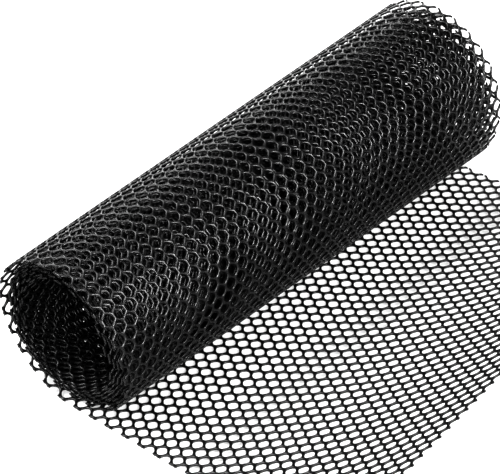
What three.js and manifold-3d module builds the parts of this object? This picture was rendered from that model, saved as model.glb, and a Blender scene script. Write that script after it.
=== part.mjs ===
// Roll of black plastic mesh: a hexagonal net wound into a hollow roll, with its outer end laid out.
// Millimetres. X runs along the roll from its near end to its far end, the loose end runs towards -Y,
// and +Z is up. The origin is on the floor, on the flat spot under the middle of the roll.

import * as THREE from "three";
import { mergeVertices } from "three/addons/utils/BufferGeometryUtils.js";
import Module from "manifold-3d";

// The net as it is made: its cut width, its thickness, and its cells.
// Each cell is a hexagon with two straight walls along the length of the net and a point at each end.
const NET_WIDTH = 400;
const NET_THICKNESS = 1.6;
const CELL_PITCH = 10;
const ROW_PITCH = 8.14;
const WALL_WIDTH = 1.8;
const SLANT_WIDTH = 1.5;
const SLANT_ANGLE = THREE.MathUtils.degToRad(37);

// The wound roll: radius of the outer turn's middle at each end, how far inside it the next turn lies,
// and the length of net that is wound up. The far end is looser, and a little taller than it is wide.
const RADIUS_NEAR = 64.6;
const RADIUS_FAR = 70.8;
const FAR_OVAL = 2.1;
const FIRST_GAP_NEAR = 2.5;
const FIRST_GAP_FAR = 1.8;
const WOUND_LENGTH = 2693;
const TURNS = 7.75;

// The turns sit closest at the back and the bottom, so the bore lies off the roll's middle.
const BORE_BACK_NEAR = 6;
const BORE_BACK_FAR = 4;
const BORE_DOWN_NEAR = 3.5;
const BORE_DOWN_FAR = 0;

// The roll lies a little askew across the net: how much further back its near end is than its far end.
const ROLL_SKEW = 18.2;
const FLAT_SPOT = 10;
const SETTLE_ANGLE = 0.7;

// The outer turn stands proud of the turns inside it at both ends.
const RIM_THICKNESS = 2;
const RIM_PROUD = 6;

// The loose end: its length from the roll to its cut ends, the stretch that lies flat,
// and the radius of the curl that it keeps from the roll, at the near and the far side.
const LOOSE_LENGTH = 270;
const FLAT_NEAR = 69.8;
const FLAT_FAR = 61;
const CURL_RADIUS_NEAR = 398;
const CURL_RADIUS_FAR = 262;

// The solid of the loose end has its cells at twice the net's pitch, in both directions.
const COARSENESS = 2;
const COARSE_ROWS = 14;

const PIECE_GAP = 0.3;
const SECTION_STEPS = 96;
const BORE_OVERRUN = 20;

const HALF_WIDTH = NET_WIDTH / 2;
const FULL_TURN = 2 * Math.PI;
const WOUND_ANGLE = FULL_TURN * TURNS;

const { lerp } = THREE.MathUtils;

// How far along the roll a place is, from 0 at the near end to 1 at the far end.
function alongRoll(x) {
  return (x + HALF_WIDTH) / NET_WIDTH;
}

// Where the loose end leaves the roll, as a place across the floor.
function tangentLine(x) {
  return -FLAT_SPOT / 2 + ROLL_SKEW * (0.5 - alongRoll(x));
}

// Radius of the winding. The turns draw in slowly at first, and faster where the length of net needs it.
function turnRadius(angle, share) {
  const outer = lerp(RADIUS_NEAR, RADIUS_FAR, share);
  const drawIn = lerp(FIRST_GAP_NEAR, FIRST_GAP_FAR, share) / FULL_TURN;
  const spare = outer * WOUND_ANGLE - (drawIn * WOUND_ANGLE ** 2) / 2 - WOUND_LENGTH;
  const hasten = (3 * spare) / WOUND_ANGLE ** 3;
  return outer - drawIn * angle - hasten * angle ** 2 + FAR_OVAL * share * Math.cos(2 * angle);
}

// A point on the wound net. The winding angle starts at the floor, goes up the back,
// over the top and down the front, and each full turn lies inside the one before.
function woundPoint(x, angle, outward) {
  const share = alongRoll(x);
  const depth = angle / WOUND_ANGLE;
  const back = lerp(BORE_BACK_NEAR, BORE_BACK_FAR, share) * depth;
  const down = lerp(BORE_DOWN_NEAR, BORE_DOWN_FAR, share) * depth;
  const radius = turnRadius(angle, share) + outward;
  const y = tangentLine(x) + back + radius * Math.sin(angle);
  const z = NET_THICKNESS / 2 + turnRadius(0, share) - down - radius * Math.cos(angle);
  return new THREE.Vector3(x, y, z);
}

// The outside of the roll, flattened where its weight presses it on the floor.
function outsideLoop(x, inset) {
  const loop = [];
  const sag = FLAT_SPOT ** 2 / (2 * RADIUS_NEAR);
  for (let step = 0; step <= SECTION_STEPS; step += 1) {
    const angle = (FULL_TURN * step) / SECTION_STEPS;
    const point = woundPoint(x, angle, NET_THICKNESS / 2 - inset);
    const settled = sag * Math.max(0, 1 - angle / SETTLE_ANGLE);
    point.z = Math.max(inset, point.z - settled);
    loop.push(point);
  }
  return loop;
}

// The bore, inside the last turn, with a step where the net's inner end lies.
function boreLoop(x) {
  const loop = [];
  for (let step = 0; step <= SECTION_STEPS; step += 1) {
    const angle = FULL_TURN * (TURNS - 1 + step / SECTION_STEPS);
    loop.push(woundPoint(x, angle, -NET_THICKNESS / 2));
  }
  return loop;
}

function geometryFrom(points, triangles) {
  const geometry = new THREE.BufferGeometry();
  const positions = points.flatMap((point) => [point.x, point.y, point.z]);
  geometry.setAttribute("position", new THREE.Float32BufferAttribute(positions, 3));
  geometry.setIndex(triangles.flat());
  return geometry;
}

// A closed body through a row of loops, from the near end to the far end, with a cap on each end.
function loft(loops) {
  const count = loops[0].length;
  const points = loops.flat();
  const triangles = [];
  for (let row = 0; row + 1 < loops.length; row += 1) {
    for (let step = 0; step < count; step += 1) {
      const next = (step + 1) % count;
      const here = row * count;
      const beyond = here + count;
      triangles.push([here + step, here + next, beyond + next]);
      triangles.push([here + step, beyond + next, beyond + step]);
    }
  }
  const nearCap = points.length;
  const farCap = nearCap + 1;
  const lastRow = (loops.length - 1) * count;
  points.push(middleOf(loops[0]), middleOf(loops.at(-1)));
  for (let step = 0; step < count; step += 1) {
    const next = (step + 1) % count;
    triangles.push([nearCap, next, step]);
    triangles.push([farCap, lastRow + step, lastRow + next]);
  }
  return geometryFrom(points, triangles);
}

function middleOf(loop) {
  const sum = loop.reduce((total, point) => total.add(point), new THREE.Vector3());
  return sum.divideScalar(loop.length);
}

const wasm = await Module();
wasm.setup();

function solidOf(geometry) {
  const merged = mergeVertices(geometry);
  const vertProperties = new Float32Array(merged.attributes.position.array);
  const triVerts = new Uint32Array(merged.index.array);
  return new wasm.Manifold(new wasm.Mesh({ numProp: 3, vertProperties, triVerts }));
}

function geometryOf(solid) {
  const mesh = solid.getMesh();
  const geometry = new THREE.BufferGeometry();
  geometry.setAttribute("position", new THREE.BufferAttribute(mesh.vertProperties, 3));
  geometry.setIndex(new THREE.BufferAttribute(mesh.triVerts, 1));
  return geometry;
}

// The wound roll is one hollow body, with the outer turn as a thin rim round each end.
function woundRollGeometry() {
  const body = loft([
    outsideLoop(-HALF_WIDTH + RIM_PROUD, RIM_THICKNESS),
    outsideLoop(-HALF_WIDTH, RIM_THICKNESS),
    outsideLoop(-HALF_WIDTH, 0),
    outsideLoop(HALF_WIDTH, 0),
    outsideLoop(HALF_WIDTH, RIM_THICKNESS),
    outsideLoop(HALF_WIDTH - RIM_PROUD, RIM_THICKNESS),
  ]);
  const bore = loft([boreLoop(-HALF_WIDTH - BORE_OVERRUN), boreLoop(HALF_WIDTH + BORE_OVERRUN)]);
  return geometryOf(solidOf(body).subtract(solidOf(bore)));
}

// A point on the loose end: across the net, along it from the roll, and up from its underside.
function loosePoint(across, run, height) {
  const share = alongRoll(across);
  const flat = lerp(FLAT_NEAR, FLAT_FAR, share);
  const curl = lerp(1 / CURL_RADIUS_NEAR, 1 / CURL_RADIUS_FAR, share);
  const angle = curl * Math.max(0, run - flat);
  const out = Math.min(run, flat) + Math.sin(angle) / curl;
  const rise = (1 - Math.cos(angle)) / curl;
  const y = tangentLine(0) - out + height * Math.sin(angle);
  const z = rise + height * Math.cos(angle);
  return new THREE.Vector3(across, y, z);
}

// A cell's outline about its middle, clockwise from the point at its free end, drawn in from the
// middles of its walls and of its slants.
function cellOutline(pitch, rowPitch, wallInset, slantInset) {
  const half = pitch / 2;
  const slope = Math.tan(SLANT_ANGLE);
  const wall = (rowPitch - half * slope) / 2;
  const point = wall + half * slope - slantInset / Math.cos(SLANT_ANGLE);
  const side = half - wallInset;
  const shoulder = point - side * slope;
  return [
    [0, point],
    [side, shoulder],
    [side, -shoulder],
    [0, -point],
    [-side, -shoulder],
    [-side, shoulder],
  ];
}

// The net drawn flat: quads of corners, each corner as [across, run].
function netPlan() {
  const pitch = CELL_PITCH * COARSENESS;
  const rowPitch = ROW_PITCH * COARSENESS;
  const wallInset = (WALL_WIDTH * COARSENESS) / 2;
  const slantInset = (SLANT_WIDTH * COARSENESS) / 2;
  const outer = cellOutline(pitch, rowPitch, 0, 0);
  const hole = cellOutline(pitch, rowPitch, wallInset, slantInset);
  const pointReach = outer[0][1];
  const columns = NET_WIDTH / pitch;
  const quads = [];

  // Rows alternate between cells moved by half a pitch, with open halves at both sides, and whole cells.
  for (let row = 0; row < COARSE_ROWS; row += 1) {
    const run = LOOSE_LENGTH - pointReach - rowPitch * (COARSE_ROWS - 1 - row);
    const moved = (row + 1) % 2;
    for (let column = 0; column < columns + moved; column += 1) {
      const across = -HALF_WIDTH + pitch * (column + (1 - moved) / 2);
      const firstSide = moved && column === columns ? 3 : 0;
      const lastSide = moved && column === 0 ? 3 : 6;
      for (let side = firstSide; side < lastSide; side += 1) {
        const next = (side + 1) % 6;
        const corners = [outer[side], outer[next], hole[next], hole[side]];
        quads.push(corners.map(([x, along]) => [across + x, run + along]));
      }
    }
  }

  // The stretch beside the roll stays whole, from the roll to the first row of cells.
  const firstRun = LOOSE_LENGTH - pointReach - rowPitch * (COARSE_ROWS - 1);
  const [, , shoulder, point] = outer;
  const edgeOf = (index) => firstRun + (index % 2 ? shoulder[1] : point[1]);
  const startOf = (x) => tangentLine(0) - tangentLine(x) + PIECE_GAP;
  for (let index = 0; index < columns * 2; index += 1) {
    const left = -HALF_WIDTH + (index * pitch) / 2;
    const right = left + pitch / 2;
    quads.push([
      [left, edgeOf(index)],
      [right, edgeOf(index + 1)],
      [right, startOf(right)],
      [left, startOf(left)],
    ]);
  }
  return quads;
}

// Turns the flat plan into a sheet: an upper and a lower face, and a wall along every open edge.
function sheetGeometry(quads) {
  const numberOf = new Map();
  const places = [];
  const indexOf = ([across, run]) => {
    const key = `${across.toFixed(3)} ${run.toFixed(3)}`;
    if (!numberOf.has(key)) {
      numberOf.set(key, places.length);
      places.push([across, run]);
    }
    return numberOf.get(key);
  };
  const faces = quads.map((quad) => quad.map(indexOf));
  const edges = new Set();
  for (const face of faces) {
    face.forEach((corner, index) => edges.add(`${corner} ${face[(index + 1) % 4]}`));
  }

  const above = places.length;
  const triangles = [];
  for (const [a, b, c, d] of faces) {
    triangles.push([a, c, b], [a, d, c]);
    triangles.push([above + a, above + b, above + c], [above + a, above + c, above + d]);
  }
  for (const edge of edges) {
    const [from, to] = edge.split(" ").map(Number);
    if (!edges.has(`${to} ${from}`)) {
      triangles.push([from, to, above + to], [from, above + to, above + from]);
    }
  }
  const under = places.map(([across, run]) => loosePoint(across, run, 0));
  const upper = places.map(([across, run]) => loosePoint(across, run, NET_THICKNESS));
  return geometryFrom([...under, ...upper], triangles);
}

function blackPlastic() {
  return new THREE.MeshStandardMaterial({ color: 0x0d0d0e, roughness: 0.42, metalness: 0 });
}

const roll = new THREE.Group();

const woundRoll = new THREE.Mesh(woundRollGeometry(), blackPlastic());
woundRoll.name = "wound_roll";
roll.add(woundRoll);

const looseEnd = new THREE.Mesh(sheetGeometry(netPlan()), blackPlastic());
looseEnd.name = "loose_end";
roll.add(looseEnd);

export default roll;
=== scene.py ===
# A roll of black plastic mesh: the hexagonal net itself, wound and laid out, on a pale floor.
# Metres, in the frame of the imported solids: X along the roll, -Y towards the loose end, +Z up.

import math

import bpy
import numpy as np
from mathutils import Matrix, Vector


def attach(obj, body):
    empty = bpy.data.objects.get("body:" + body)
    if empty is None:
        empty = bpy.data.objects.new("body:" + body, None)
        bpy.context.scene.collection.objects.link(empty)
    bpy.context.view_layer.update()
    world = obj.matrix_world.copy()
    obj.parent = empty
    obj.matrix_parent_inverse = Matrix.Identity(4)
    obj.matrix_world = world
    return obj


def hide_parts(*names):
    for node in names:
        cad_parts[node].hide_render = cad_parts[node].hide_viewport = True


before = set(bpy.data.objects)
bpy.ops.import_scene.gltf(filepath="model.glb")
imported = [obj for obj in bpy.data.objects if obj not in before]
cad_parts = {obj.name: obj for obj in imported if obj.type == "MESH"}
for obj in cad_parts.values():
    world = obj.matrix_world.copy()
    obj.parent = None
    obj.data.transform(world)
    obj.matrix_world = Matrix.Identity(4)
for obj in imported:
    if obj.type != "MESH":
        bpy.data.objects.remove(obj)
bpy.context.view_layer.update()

# The net as it is made: its cut width, its thickness, and its cells. Each cell is a hexagon with
# two straight walls along the length of the net, slants between them, and a point at each end.
# Its corners are filled a little, and the strands are a little thicker where they meet.
NET_WIDTH = 0.400
NET_THICKNESS = 0.0016
CELL_PITCH = 0.010
ROW_PITCH = 0.00814
SLANT_ANGLE = math.radians(37)
WALL_WIDTH = 0.0018
SLANT_WIDTH = 0.0017
FILLET = 0.0006
INNER_FILLET = 0.0004
JUNCTION_SWELL = 1.08

# The strand's section between its edge and its middle line: how far towards the middle line, and
# how high, as shares of the half width and the half thickness.
SHOULDERS = ((0.33, 0.875),)

# How the knife went through the cells: the side cuts, the first whole cell of an even row, the
# cells in a row, the last row's middle, and how far short of the next row's middle the ends were
# cut. On the far side the cut strands bend from their joints on.
NEAR_CUT = -0.1992
FAR_CUT = 0.2002
FIRST_CELL = -0.1884
CELLS_IN_ROW = 39
LAST_ROW_RUN = 0.2621
END_CUT = 0.0002
PRONG_ROOT = 0.1966
PRONG_BEND = 90.0

# The wound roll, as in the solids: its radii, the spacing of its first turns, its winding, how far
# the middle of the bore lies back and down, and how it lies askew and flattened on the floor.
RADIUS_NEAR = 0.0646
RADIUS_FAR = 0.0708
FAR_OVAL = 0.0021
FIRST_GAP_NEAR = 0.0025
FIRST_GAP_FAR = 0.0018
WOUND_LENGTH = 2.693
TURNS = 7.75
BORE_BACK_NEAR = 0.006
BORE_BACK_FAR = 0.004
BORE_DOWN_NEAR = 0.0035
BORE_DOWN_FAR = 0.0
ROLL_SKEW = 0.0182
FLAT_SPOT = 0.010
SETTLE_ANGLE = 0.7

# The inner turns are a little narrower than the outer one, and none ends quite flush with the
# next. Each drift is how far, how many waves to a turn, and its phase.
NARROWING = 0.0288
NARROW_FROM = 1.5 * math.pi
NARROW_TO = 2.1 * math.pi
EDGE_SHIFT = 0.0018
EDGE_DRIFTS = ((0.0026, 1.0549, 3.067), (0.0012, 1.9602, 3.264))

# The inner turns have sunk a little, so the outer one stands off them over the top of the back:
# how deep at each end, at which winding angle, and how far to either side of it.
SINK_NEAR = 0.0022
SINK_FAR = 0.0045
SINK_MIDDLE = math.radians(133)
SINK_REACH = math.radians(75)

# The loose end, as in the solids: how much of it lies flat, and the radius of its curl.
FLAT_NEAR = 0.0698
FLAT_FAR = 0.061
CURL_RADIUS_NEAR = 0.398
CURL_RADIUS_FAR = 0.262

# Slow waves in the lattice: how far cells are moved, the wave's length across and along, its phase.
# The moves along the net follow the same waves at a quicker pace than the moves across it.
LATTICE_WAVES = ((0.00025, 0.171, 0.143, 0.3), (0.00010, 0.047, -0.062, 1.9))
RUN_WAVE_PACE = 1.3

FULL_TURN = 2 * math.pi
WOUND_ANGLE = FULL_TURN * TURNS

# Steps towards the winding angle of a length, and the grid on which places count as the same.
ANGLE_STEPS = 8
GRID_LINES_PER_METRE = 1e7


def lerp(start, end, share):
    return start + (end - start) * share


def along_roll(across):
    """How far along the roll a place is, from 0 at the near end to 1 at the far end."""
    return (across + NET_WIDTH / 2) / NET_WIDTH


def tangent_run(across):
    """Where the loose end leaves the roll, as a length of net past the middle of that line."""
    return ROLL_SKEW * (along_roll(across) - 0.5)


def uneven(across, run):
    """Moves the places of a perfect lattice a little, in slow waves."""
    moved_across, moved_run = across.copy(), run.copy()
    for reach, wave_across, wave_run, phase in LATTICE_WAVES:
        wave = FULL_TURN * (across / wave_across + run / wave_run) + phase
        moved_across += reach * np.sin(wave)
        moved_run += reach * np.cos(RUN_WAVE_PACE * wave)
    return moved_across, moved_run


def bent_prongs(across, run):
    """Bends the cut prongs of the open cells on the far side towards each other."""
    row = (LAST_ROW_RUN - run) / ROW_PITCH
    open_row = 2 * np.round((row - 1) / 2) + 1
    past_joint = np.maximum(0, across - PRONG_ROOT)
    side = np.sign(row - open_row)
    return run + side * PRONG_BEND * past_joint**2


def turn_radius(angle, share):
    """Radius at a winding angle, and the length of net wound up to there.

    The turns draw in slowly at first, and faster if the length needs it.
    """
    outer = lerp(RADIUS_NEAR, RADIUS_FAR, share)
    draw_in = lerp(FIRST_GAP_NEAR, FIRST_GAP_FAR, share) / FULL_TURN
    spare = outer * WOUND_ANGLE - draw_in * WOUND_ANGLE**2 / 2 - WOUND_LENGTH
    hasten = 3 * spare / WOUND_ANGLE**3
    radius = outer - draw_in * angle - hasten * angle**2
    length = outer * angle - draw_in * angle**2 / 2 - hasten * angle**3 / 3
    oval = FAR_OVAL * share
    return radius + oval * np.cos(2 * angle), length + oval * np.sin(2 * angle) / 2


def winding_angle(length, share):
    """The angle through which a length of net winds up, from the floor and up the back."""
    angle = length / lerp(RADIUS_NEAR, RADIUS_FAR, share)
    for _ in range(ANGLE_STEPS):
        radius, reached = turn_radius(angle, share)
        angle = angle + (length - reached) / radius
    return angle


def wound_points(across, length, height):
    """Points of the wound net. Height is towards the middle of the roll."""
    angle = winding_angle(length, along_roll(across))
    inside = np.clip((angle - NARROW_FROM) / (NARROW_TO - NARROW_FROM), 0, 1)
    drift = EDGE_SHIFT
    for reach, pace, phase in EDGE_DRIFTS:
        drift = drift + reach * np.sin(pace * angle + phase)
    x = across * (1 - NARROWING * inside) + drift * inside

    share = along_roll(x)
    depth = angle / WOUND_ANGLE
    radius, _ = turn_radius(angle, share)
    off_middle = np.abs((angle - SINK_MIDDLE + math.pi) % FULL_TURN - math.pi)
    sink_share = np.cos(np.clip(off_middle / SINK_REACH, 0, 1) * math.pi / 2) ** 2
    radius = radius - lerp(SINK_NEAR, SINK_FAR, share) * sink_share * inside

    resting_radius, _ = turn_radius(0.0, share)
    bore_back = lerp(BORE_BACK_NEAR, BORE_BACK_FAR, share)
    bore_down = lerp(BORE_DOWN_NEAR, BORE_DOWN_FAR, share)
    middle_y = -FLAT_SPOT / 2 - tangent_run(x) + bore_back * depth
    middle_z = NET_THICKNESS / 2 + resting_radius - bore_down * depth

    sag = FLAT_SPOT**2 / (2 * RADIUS_NEAR)
    settled = sag * np.clip(1 - angle / SETTLE_ANGLE, 0, 1)
    above_floor = middle_z - radius * np.cos(angle) - NET_THICKNESS / 2
    settled = np.minimum(settled, np.maximum(above_floor, 0))

    y = middle_y + (radius - height) * np.sin(angle)
    z = middle_z - (radius - height) * np.cos(angle) - settled
    return np.stack((x, y, z), axis=1)


def loose_points(across, run, height):
    """Points of the loose end, which lies flat beside the roll and then curls up."""
    share = along_roll(across)
    flat = lerp(FLAT_NEAR, FLAT_FAR, share)
    curl = lerp(1 / CURL_RADIUS_NEAR, 1 / CURL_RADIUS_FAR, share)
    angle = curl * np.maximum(0, run - flat)
    out = np.minimum(run, flat) + np.sin(angle) / curl
    rise = (1 - np.cos(angle)) / curl
    lift = NET_THICKNESS / 2 + height
    y = -FLAT_SPOT / 2 - out + lift * np.sin(angle)
    z = rise + lift * np.cos(angle)
    return np.stack((across, y, z), axis=1)


def net_points(across, run, height):
    """Takes places on the flat net to the wound roll and the loose end."""
    across, run = uneven(across, bent_prongs(across, run))
    wound = tangent_run(across) - run
    rolled = wound_points(across, np.maximum(wound, 0), height)
    loose = loose_points(across, run, height)
    points = np.where(wound[:, None] > 0, rolled, loose)
    points[:, 2] = np.maximum(points[:, 2], 0)
    return points


class Ring:
    """The half strands round one cell: places on their middle lines and on the hole's edge."""

    def __init__(self, middle_line, hole_edge, swell, closed):
        self.middle_line = np.asarray(middle_line)
        self.hole_edge = np.asarray(hole_edge)
        self.swell = np.asarray(swell)
        self.closed = closed

    def clipped(self, axis, limit, keep_above):
        """The part of the ring on one side of a straight cut, as an open ring, or None."""
        sign = 1 if keep_above else -1
        line_side = sign * (self.middle_line[:, axis] - limit)
        hole_side = sign * (self.hole_edge[:, axis] - limit)
        kept = line_side >= 0
        if kept.all():
            return self
        if not kept.any():
            return None
        count = len(kept)
        first = next(
            i for i in range(count) if kept[i] and not (kept[i - 1] and (i or self.closed))
        )
        order = [first]
        while len(order) < kept.sum():
            order.append((order[-1] + 1) % count)

        line, hole = list(self.middle_line[order]), list(self.hole_edge[order])
        swell = list(self.swell[order])
        for end, step in ((0, -1), (len(order) - 1, 1)):
            here = order[end]
            beyond = here + step
            if not self.closed and not 0 <= beyond < count:
                continue
            beyond %= count
            at_line = line_side[here] / (line_side[here] - line_side[beyond])
            hole_drop = hole_side[here] - hole_side[beyond]
            at_hole = np.clip(hole_side[here] / hole_drop, 0, 1) if hole_drop > 0 else 0.0
            cut_line = lerp(self.middle_line[here], self.middle_line[beyond], at_line)
            cut_hole = lerp(self.hole_edge[here], self.hole_edge[beyond], at_hole)
            place = 0 if step < 0 else len(line)
            line.insert(place, cut_line)
            hole.insert(place, cut_hole)
            swell.insert(place, 1.0)
        return Ring(line, hole, swell, False)

    def plan_area(self):
        """Area of the half strands, laid flat."""
        line, hole = self.middle_line, self.hole_edge
        if self.closed:
            line, hole = np.vstack((line, line[:1])), np.vstack((hole, hole[:1]))
        area = 0.0
        for i in range(len(line) - 1):
            corners = np.array((line[i], line[i + 1], hole[i + 1], hole[i]))
            x, y = corners.T
            area += abs(np.dot(x, np.roll(y, -1)) - np.dot(y, np.roll(x, -1))) / 2
        return area


def cell_ring(fillet, rounded):
    """A whole cell about its middle, clockwise from the point at its free end."""
    half = CELL_PITCH / 2
    slope = math.tan(SLANT_ANGLE)
    shoulder = (ROW_PITCH - half * slope) / 2
    point = shoulder + half * slope
    corners = np.array([
        (0, point), (half, shoulder), (half, -shoulder),
        (0, -point), (-half, -shoulder), (-half, shoulder),
    ])
    side_widths = (SLANT_WIDTH, WALL_WIDTH, SLANT_WIDTH, SLANT_WIDTH, WALL_WIDTH, SLANT_WIDTH)
    middle_line, hole_edge, swell = [], [], []
    for i, corner in enumerate(corners):
        after, before = corners[(i + 1) % len(corners)], corners[i - 1]
        ahead = (after - corner) / np.linalg.norm(after - corner)
        back = (before - corner) / np.linalg.norm(before - corner)
        inward = (ahead + back) / np.linalg.norm(ahead + back)
        width = (side_widths[i] + side_widths[i - 1]) / 2
        half_corner = math.acos(np.clip(np.dot(ahead, inward), -1, 1))
        reach = width / 2 / math.sin(half_corner) + fillet
        middle_line.append(corner)
        hole_edge.append(corner + inward * reach)
        swell.append(JUNCTION_SWELL)
        if not rounded:
            continue

        across_side = np.array((ahead[1], -ahead[0]))
        middle = (corner + after) / 2
        middle_line.append(middle)
        hole_edge.append(middle + across_side * side_widths[i] / 2)
        swell.append(1.0)
    return Ring(middle_line, hole_edge, swell, True)


# Cells with rounded corners, and plainer ones for the turns inside the roll.
ROUNDED_CELL = cell_ring(FILLET, True)
PLAIN_CELL = cell_ring(INNER_FILLET, False)


def row_run(row):
    """How far along the net a row's middle is. Rows are counted from the free end."""
    return LAST_ROW_RUN - ROW_PITCH * row


def row_start(row):
    return FIRST_CELL - CELL_PITCH / 2 * (row % 2)


def last_whole_row():
    """The number of the last row before the cut one at the inner end of the roll."""
    return int((LAST_ROW_RUN + WOUND_LENGTH) / ROW_PITCH)


def row_stamps(row, last_row, ring):
    """The rings of one row and the middles of the cells they go round."""
    start = row_start(row)
    if row < 0:
        ring = ring.clipped(1, -END_CUT, keep_above=False)
    if row > last_row:
        ring = ring.clipped(1, END_CUT, keep_above=True)
    run = row_run(row)
    whole = [(start + CELL_PITCH * column, run) for column in range(CELLS_IN_ROW)]
    near = start - CELL_PITCH
    far = start + CELL_PITCH * CELLS_IN_ROW
    stamps = [(ring, whole)]
    for middle, limit, keep_above in ((near, NEAR_CUT, True), (far, FAR_CUT, False)):
        cut = ring.clipped(0, limit - middle, keep_above)
        if cut is not None:
            stamps.append((cut, [(middle, run)]))
    return stamps


class NetMesh:
    """Gathers the points and faces of a stretch of net, first on the flat net and then in place."""

    def __init__(self):
        self.places = []
        self.faces = []
        self.count = 0
        self.line_places = []
        self.line_swells = []
        self.stamped = []
        self.area = 0.0

    def stamp(self, ring, middles):
        middles = np.array(middles)
        line = middles[:, None, :] + ring.middle_line[None]
        hole = middles[:, None, :] + ring.hole_edge[None]
        self.line_places.append(line.reshape(-1, 2))
        self.line_swells.append(np.tile(ring.swell, len(middles)))
        self.stamped.append((line.shape[:2], line, hole, ring.closed))
        self.area += ring.plan_area() * len(middles)

    def add_points(self, places, height):
        places = places.reshape(-1, 2)
        first = self.count
        heights = np.broadcast_to(height, len(places))
        self.places.append(np.column_stack((places, heights)))
        self.count += len(places)
        return np.arange(first, self.count)

    def build(self):
        half = NET_THICKNESS / 2
        line_places = np.concatenate(self.line_places)
        swells = np.concatenate(self.line_swells)
        keys = np.round(line_places * GRID_LINES_PER_METRE).astype(np.int64)
        _, first, shared = np.unique(keys, axis=0, return_index=True, return_inverse=True)
        shared = shared.reshape(-1)
        top = self.add_points(line_places[first], half * swells[first])
        bottom = self.add_points(line_places[first], -half * swells[first])

        sides = []
        used = 0
        for (cells, count), line, hole, closed in self.stamped:
            number = shared[used:used + cells * count].reshape(cells, count)
            used += cells * count
            edge = self.add_points(hole, 0.0).reshape(cells, count)
            uppers, lowers = [edge], [edge]
            for towards_line, height in SHOULDERS:
                band = lerp(hole, line, towards_line)
                uppers.append(self.add_points(band, half * height).reshape(cells, count))
                lowers.append(self.add_points(band, -half * height).reshape(cells, count))
            uppers.append(top[number])
            lowers.append(bottom[number])
            here = np.arange(count if closed else count - 1)
            ahead = (here + 1) % count
            for inner, outer in zip(uppers, uppers[1:]):
                self.quads(outer[:, here], outer[:, ahead], inner[:, ahead], inner[:, here])
            for inner, outer in zip(lowers, lowers[1:]):
                self.quads(inner[:, here], inner[:, ahead], outer[:, ahead], outer[:, here])
            sides.append(np.stack((number[:, here], number[:, ahead]), axis=-1).reshape(-1, 2))
            if not closed:
                self.close_cut(uppers, lowers, 0, True)
                self.close_cut(uppers, lowers, count - 1, False)

        # Where the stretch meets the next one, its strands are closed along their middle lines.
        sides = np.concatenate(sides)
        _, at, times = np.unique(
            np.sort(sides, axis=1), axis=0, return_index=True, return_counts=True
        )
        here, ahead = sides[at[times == 1]].T
        self.quads(top[ahead], top[here], bottom[here], bottom[ahead])

    def quads(self, a, b, c, d):
        self.faces.append(np.stack((a, b, c, d), axis=-1).reshape(-1, 4))

    def close_cut(self, uppers, lowers, index, at_start):
        """A flat end on the cut strands, as quads from the middle line down to the hole's edge."""
        for k in range(len(uppers) - 1, 0, -1):
            corners = [
                uppers[k][:, index], uppers[k - 1][:, index],
                lowers[k - 1][:, index], lowers[k][:, index],
            ]
            if at_start:
                corners.reverse()
            self.faces.append(np.stack(corners, axis=-1).reshape(-1, 4))

    def make(self, name):
        self.build()
        across, run, height = np.concatenate(self.places).T
        points = net_points(across, run, height)
        quads = np.concatenate(self.faces).tolist()
        mesh = bpy.data.meshes.new(name)
        mesh.from_pydata(points, [], [list(dict.fromkeys(corners)) for corners in quads])
        mesh.polygons.foreach_set("use_smooth", np.ones(len(mesh.polygons), dtype=bool))
        mesh.update()
        piece = bpy.data.objects.new(name, mesh)
        bpy.context.scene.collection.objects.link(piece)
        return piece


# The values between which most of a noise texture lies.
NOISE_LOW = 0.3
NOISE_HIGH = 0.7

# The plastic: clean and dusty tints, the scale and detail of its dust and of its skin, the skin's
# range of roughness, and how strong and how high the skin's bumps are.
CLEAN_TINT = (0.002, 0.002, 0.0021, 1)
DUSTY_TINT = (0.005, 0.005, 0.0052, 1)
DUST_SCALE = 55
DUST_DETAIL = 4
SKIN_SCALE = 1400
SKIN_DETAIL = 3
SMOOTHEST = 0.26
ROUGHEST = 0.38
BUMP_STRENGTH = 0.25
BUMP_HEIGHT = 0.0002

# The floor: its size, its tints, their scale and detail, its roughness, and its glow.
FLOOR_SIZE = 8.0
FLOOR_DARK = (0.26, 0.26, 0.26, 1)
FLOOR_LIGHT = (0.29, 0.29, 0.29, 1)
GRAIN_SCALE = 30
GRAIN_DETAIL = 2
FLOOR_ROUGHNESS = 0.9
FLOOR_GLOW = 0.6
WHITE = (1, 1, 1, 1)


def noise_node(nodes, links, place, scale, detail):
    noise = nodes.new("ShaderNodeTexNoise")
    noise.inputs["Scale"].default_value = scale
    noise.inputs["Detail"].default_value = detail
    links.new(place, noise.inputs["Vector"])
    return noise


def ranged(nodes, links, value, low, high):
    """Spreads a noise value over a range."""
    spread = nodes.new("ShaderNodeMapRange")
    spread.inputs["From Min"].default_value = NOISE_LOW
    spread.inputs["From Max"].default_value = NOISE_HIGH
    spread.inputs["To Min"].default_value = low
    spread.inputs["To Max"].default_value = high
    links.new(value, spread.inputs["Value"])
    return spread.outputs["Result"]


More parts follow.
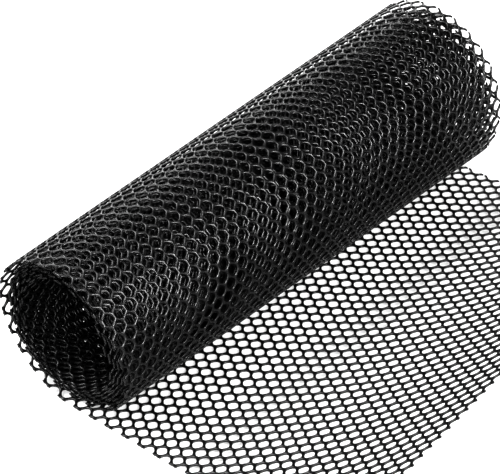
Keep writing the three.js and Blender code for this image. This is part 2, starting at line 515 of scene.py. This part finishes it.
def black_plastic():
    """Satin black polyethylene, with a drawn skin, dull patches and a little dust."""
    material = bpy.data.materials.new("black_plastic")
    material.use_nodes = True
    nodes, links = material.node_tree.nodes, material.node_tree.links
    shader = nodes["Principled BSDF"]
    place = nodes.new("ShaderNodeTexCoord").outputs["Object"]

    dust = noise_node(nodes, links, place, DUST_SCALE, DUST_DETAIL)
    skin = noise_node(nodes, links, place, SKIN_SCALE, SKIN_DETAIL)
    tint = nodes.new("ShaderNodeMix")
    tint.data_type = "RGBA"
    tint.inputs["A"].default_value = CLEAN_TINT
    tint.inputs["B"].default_value = DUSTY_TINT
    links.new(ranged(nodes, links, dust.outputs["Fac"], 0, 1), tint.inputs["Factor"])
    links.new(tint.outputs["Result"], shader.inputs["Base Color"])
    roughness = ranged(nodes, links, skin.outputs["Fac"], SMOOTHEST, ROUGHEST)
    links.new(roughness, shader.inputs["Roughness"])
    bump = nodes.new("ShaderNodeBump")
    bump.inputs["Strength"].default_value = BUMP_STRENGTH
    bump.inputs["Distance"].default_value = BUMP_HEIGHT
    links.new(skin.outputs["Fac"], bump.inputs["Height"])
    links.new(bump.outputs["Normal"], shader.inputs["Normal"])
    return material


def pale_floor():
    """A mid-grey floor with a white glow, so that it looks pale and the net's shadows are faint."""
    material = bpy.data.materials.new("pale_floor")
    material.use_nodes = True
    nodes, links = material.node_tree.nodes, material.node_tree.links
    shader = nodes["Principled BSDF"]
    place = nodes.new("ShaderNodeTexCoord").outputs["Object"]
    grain = noise_node(nodes, links, place, GRAIN_SCALE, GRAIN_DETAIL)
    tint = nodes.new("ShaderNodeMix")
    tint.data_type = "RGBA"
    tint.inputs["A"].default_value = FLOOR_DARK
    tint.inputs["B"].default_value = FLOOR_LIGHT
    links.new(grain.outputs["Fac"], tint.inputs["Factor"])
    links.new(tint.outputs["Result"], shader.inputs["Base Color"])
    shader.inputs["Roughness"].default_value = FLOOR_ROUGHNESS
    shader.inputs["Emission Color"].default_value = WHITE
    shader.inputs["Emission Strength"].default_value = FLOOR_GLOW
    return material


def add_floor():
    half = FLOOR_SIZE / 2
    corners = [(-half, -half, 0), (half, -half, 0), (half, half, 0), (-half, half, 0)]
    mesh = bpy.data.meshes.new("floor")
    mesh.from_pydata(corners, [], [(0, 1, 2, 3)])
    floor = bpy.data.objects.new("floor", mesh)
    floor.data.materials.append(pale_floor())
    bpy.context.scene.collection.objects.link(floor)


# The camera: where it looks, from how far, its angles, its focal length in pixels and the width of
# the image they belong to, its sensor, and how far it sees.
CAMERA_TARGET = Vector((-0.02756, -0.01922, 0.060))
CAMERA_DISTANCE = 1.5045
CAMERA_AZIMUTH = math.radians(-43.63)
CAMERA_ELEVATION = math.radians(37.57)
CAMERA_ROLL = math.radians(-6.29)
FOCAL_PIXELS = 2008.2
IMAGE_WIDTH = 500
SENSOR_WIDTH = 36.0
CAMERA_SIGHT = 50


def direction(azimuth, elevation):
    """From the object towards a place at an azimuth and elevation."""
    level = math.cos(elevation)
    return Vector((math.sin(azimuth) * level, -math.cos(azimuth) * level, math.sin(elevation)))


def add_camera():
    data = bpy.data.cameras.new("camera")
    data.sensor_width = SENSOR_WIDTH
    data.lens = FOCAL_PIXELS * SENSOR_WIDTH / IMAGE_WIDTH
    data.clip_end = CAMERA_SIGHT
    camera = bpy.data.objects.new("camera", data)
    back = direction(CAMERA_AZIMUTH, CAMERA_ELEVATION)
    right = Vector((0, 0, 1)).cross(back).normalized()
    up = back.cross(right)
    side = math.cos(CAMERA_ROLL) * right + math.sin(CAMERA_ROLL) * up
    top = -math.sin(CAMERA_ROLL) * right + math.cos(CAMERA_ROLL) * up
    axes = Matrix((side, top, back)).transposed().to_4x4()
    camera.matrix_world = Matrix.Translation(CAMERA_TARGET + back * CAMERA_DISTANCE) @ axes
    bpy.context.scene.collection.objects.link(camera)
    bpy.context.scene.camera = camera


# Soft lights: name, azimuth, elevation, distance, width, height and power.
LIGHTS = (
    ("overhead", 0, 88, 2.6, 2.4, 2.4, 48),
    ("front_strip", 0, 34, 2.4, 0.5, 1.6, 145),
    ("front_left", -40, 20, 2.4, 1.0, 1.0, 55),
    ("back_low", 140, 8, 2.6, 1.6, 1.6, 55),
    ("left_high", -120, 62, 2.4, 1.4, 1.4, 60),
    ("back_left", -160, 60, 2.4, 1.4, 1.4, 74),
)
SKY_STRENGTH = 0.1
VIEW_GAMMA = 0.64


def add_lights():
    for name, azimuth, elevation, distance, width, height, power in LIGHTS:
        data = bpy.data.lights.new(name, "AREA")
        data.shape = "RECTANGLE"
        data.size = width
        data.size_y = height
        data.energy = power
        light = bpy.data.objects.new(name, data)
        towards = direction(math.radians(azimuth), math.radians(elevation))
        light.location = towards * distance
        light.rotation_euler = towards.to_track_quat("Z", "Y").to_euler()
        bpy.context.scene.collection.objects.link(light)
    world = bpy.data.worlds.new("studio")
    world.use_nodes = True
    background = world.node_tree.nodes["Background"]
    background.inputs["Color"].default_value = WHITE
    background.inputs["Strength"].default_value = SKY_STRENGTH
    bpy.context.scene.world = world
    bpy.context.scene.view_settings.view_transform = "Standard"
    bpy.context.scene.view_settings.gamma = VIEW_GAMMA


# Rows of the loose end and of the outer turn, and the pieces that the inner turns are made in.
LOOSE_ROWS = 32
OUTER_ROWS = 52
INNER_PIECES = 3


def stretches():
    """The net's pieces: name, first row, row after the last one, node, how it is held, cells.

    Row -1 and the row after the last whole one are cut.
    """
    inner_end = last_whole_row() + 2
    outer_end = LOOSE_ROWS + OUTER_ROWS
    outer_half = LOOSE_ROWS + OUTER_ROWS // 2
    yield "loose_net", -1, LOOSE_ROWS, "loose_end", "laid", ROUNDED_CELL
    yield "outer_turn_back", LOOSE_ROWS, outer_half, "wound_roll", "folded", ROUNDED_CELL
    yield "outer_turn_front", outer_half, outer_end, "wound_roll", "folded", ROUNDED_CELL
    for number in range(INNER_PIECES):
        first = round(lerp(outer_end, inner_end, number / INNER_PIECES))
        beyond = round(lerp(outer_end, inner_end, (number + 1) / INNER_PIECES))
        yield f"inner_turns_{number + 1}", first, beyond, "wound_roll", "folded", PLAIN_CELL


def add_net():
    plastic = black_plastic()
    last_row = last_whole_row()
    for name, first, beyond, node, held, cell in stretches():
        net = NetMesh()
        for row in range(first, beyond):
            for ring, middles in row_stamps(row, last_row, cell):
                net.stamp(ring, middles)
        piece = net.make(name)
        piece.data.materials.append(plastic)
        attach(piece, "root")
        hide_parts(node)


add_camera()
add_net()
add_floor()
add_lights()
